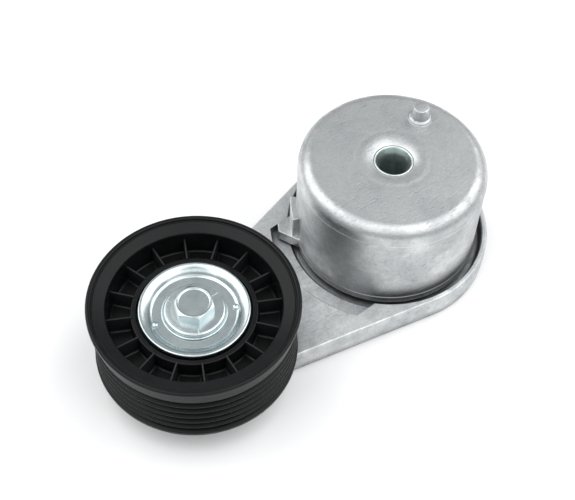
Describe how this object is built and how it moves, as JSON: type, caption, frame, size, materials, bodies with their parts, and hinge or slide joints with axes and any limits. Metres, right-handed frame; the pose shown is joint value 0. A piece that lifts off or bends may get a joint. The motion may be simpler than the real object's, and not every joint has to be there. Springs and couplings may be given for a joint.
{
  "type": "belt tensioner",
  "caption": "Spring-loaded belt tensioner: round case with a mounting sleeve and locating pin, swinging cast arm, and a grooved idler pulley on a sealed ball bearing.",
  "frame": {"origin": "on the pivot axis, in the mounting face of the spring case", "axes": "+Z out of the mounting face towards the engine bracket, the arm reaches along -X from the pivot to the pulley"},
  "size_m": [0.173, 0.0824, 0.0566],
  "materials": {
    "cast_aluminium_case": "die-cast, tumbled, satin with faint flow marks",
    "cast_aluminium_arm": "die-cast, satin, bright broken edges",
    "zinc_yellow": "steel, zinc plated, greenish-yellow passivate",
    "zinc_bright": "steel, bright blue-white zinc plate",
    "bearing_steel": "hardened and ground steel",
    "spring_steel": "oil-hardened spring wire",
    "black_nylon": "black glass-filled nylon, satin as moulded",
    "seal_rubber": "black nitrile rubber",
    "natural_nylon": "natural nylon, as moulded",
    "damper_nylon": "dark filled nylon"
  },
  "bodies": {
    "case": {"spring_case": "cast_aluminium_case", "pivot_sleeve": "zinc_yellow", "end_plate": "zinc_bright", "thrust_washer": "natural_nylon", "spring_bushing": "natural_nylon"},
    "arm": {"tension_arm": "cast_aluminium_arm", "pivot_bushing": "natural_nylon", "torsion_spring": "spring_steel", "damper_shoe": "damper_nylon", "pulley_bolt": "zinc_bright", "dust_shield_front": "zinc_bright", "dust_shield_rear": "zinc_bright", "bearing_inner_race": "bearing_steel"},
    "pulley": {"pulley_wheel": "black_nylon", "bearing_outer_race": "bearing_steel", "bearing_seal_front": "seal_rubber", "bearing_seal_rear": "seal_rubber"},
    "cage": {"ball_cage": "bearing_steel", "ball_1": "bearing_steel", "ball_2": "bearing_steel", "ball_3": "bearing_steel", "ball_4": "bearing_steel", "ball_5": "bearing_steel", "ball_6": "bearing_steel", "ball_7": "bearing_steel", "ball_8": "bearing_steel"}
  },
  "joints": [
    {"name": "arm_swing", "type": "hinge", "parent": "case", "child": "arm", "pos_m": [0, 0, 0], "axis": [0, 0, -1], "range_deg": [0, 68], "stiffness_Nm_per_rad": 17, "springref_deg": -40.11},
    {"name": "pulley_spin", "type": "hinge", "parent": "arm", "child": "pulley", "pos_m": [-0.0938, 0, -0.0226], "axis": [0, 0, 1], "continuous": true},
    {"name": "cage_spin", "type": "hinge", "parent": "arm", "child": "cage", "pos_m": [-0.0938, 0, -0.0226], "axis": [0, 0, 1], "continuous": true}
  ],
  "couplings": [
    {"joint": "cage_spin", "follows": "pulley_spin", "ratio": 0.6157}
  ]
}
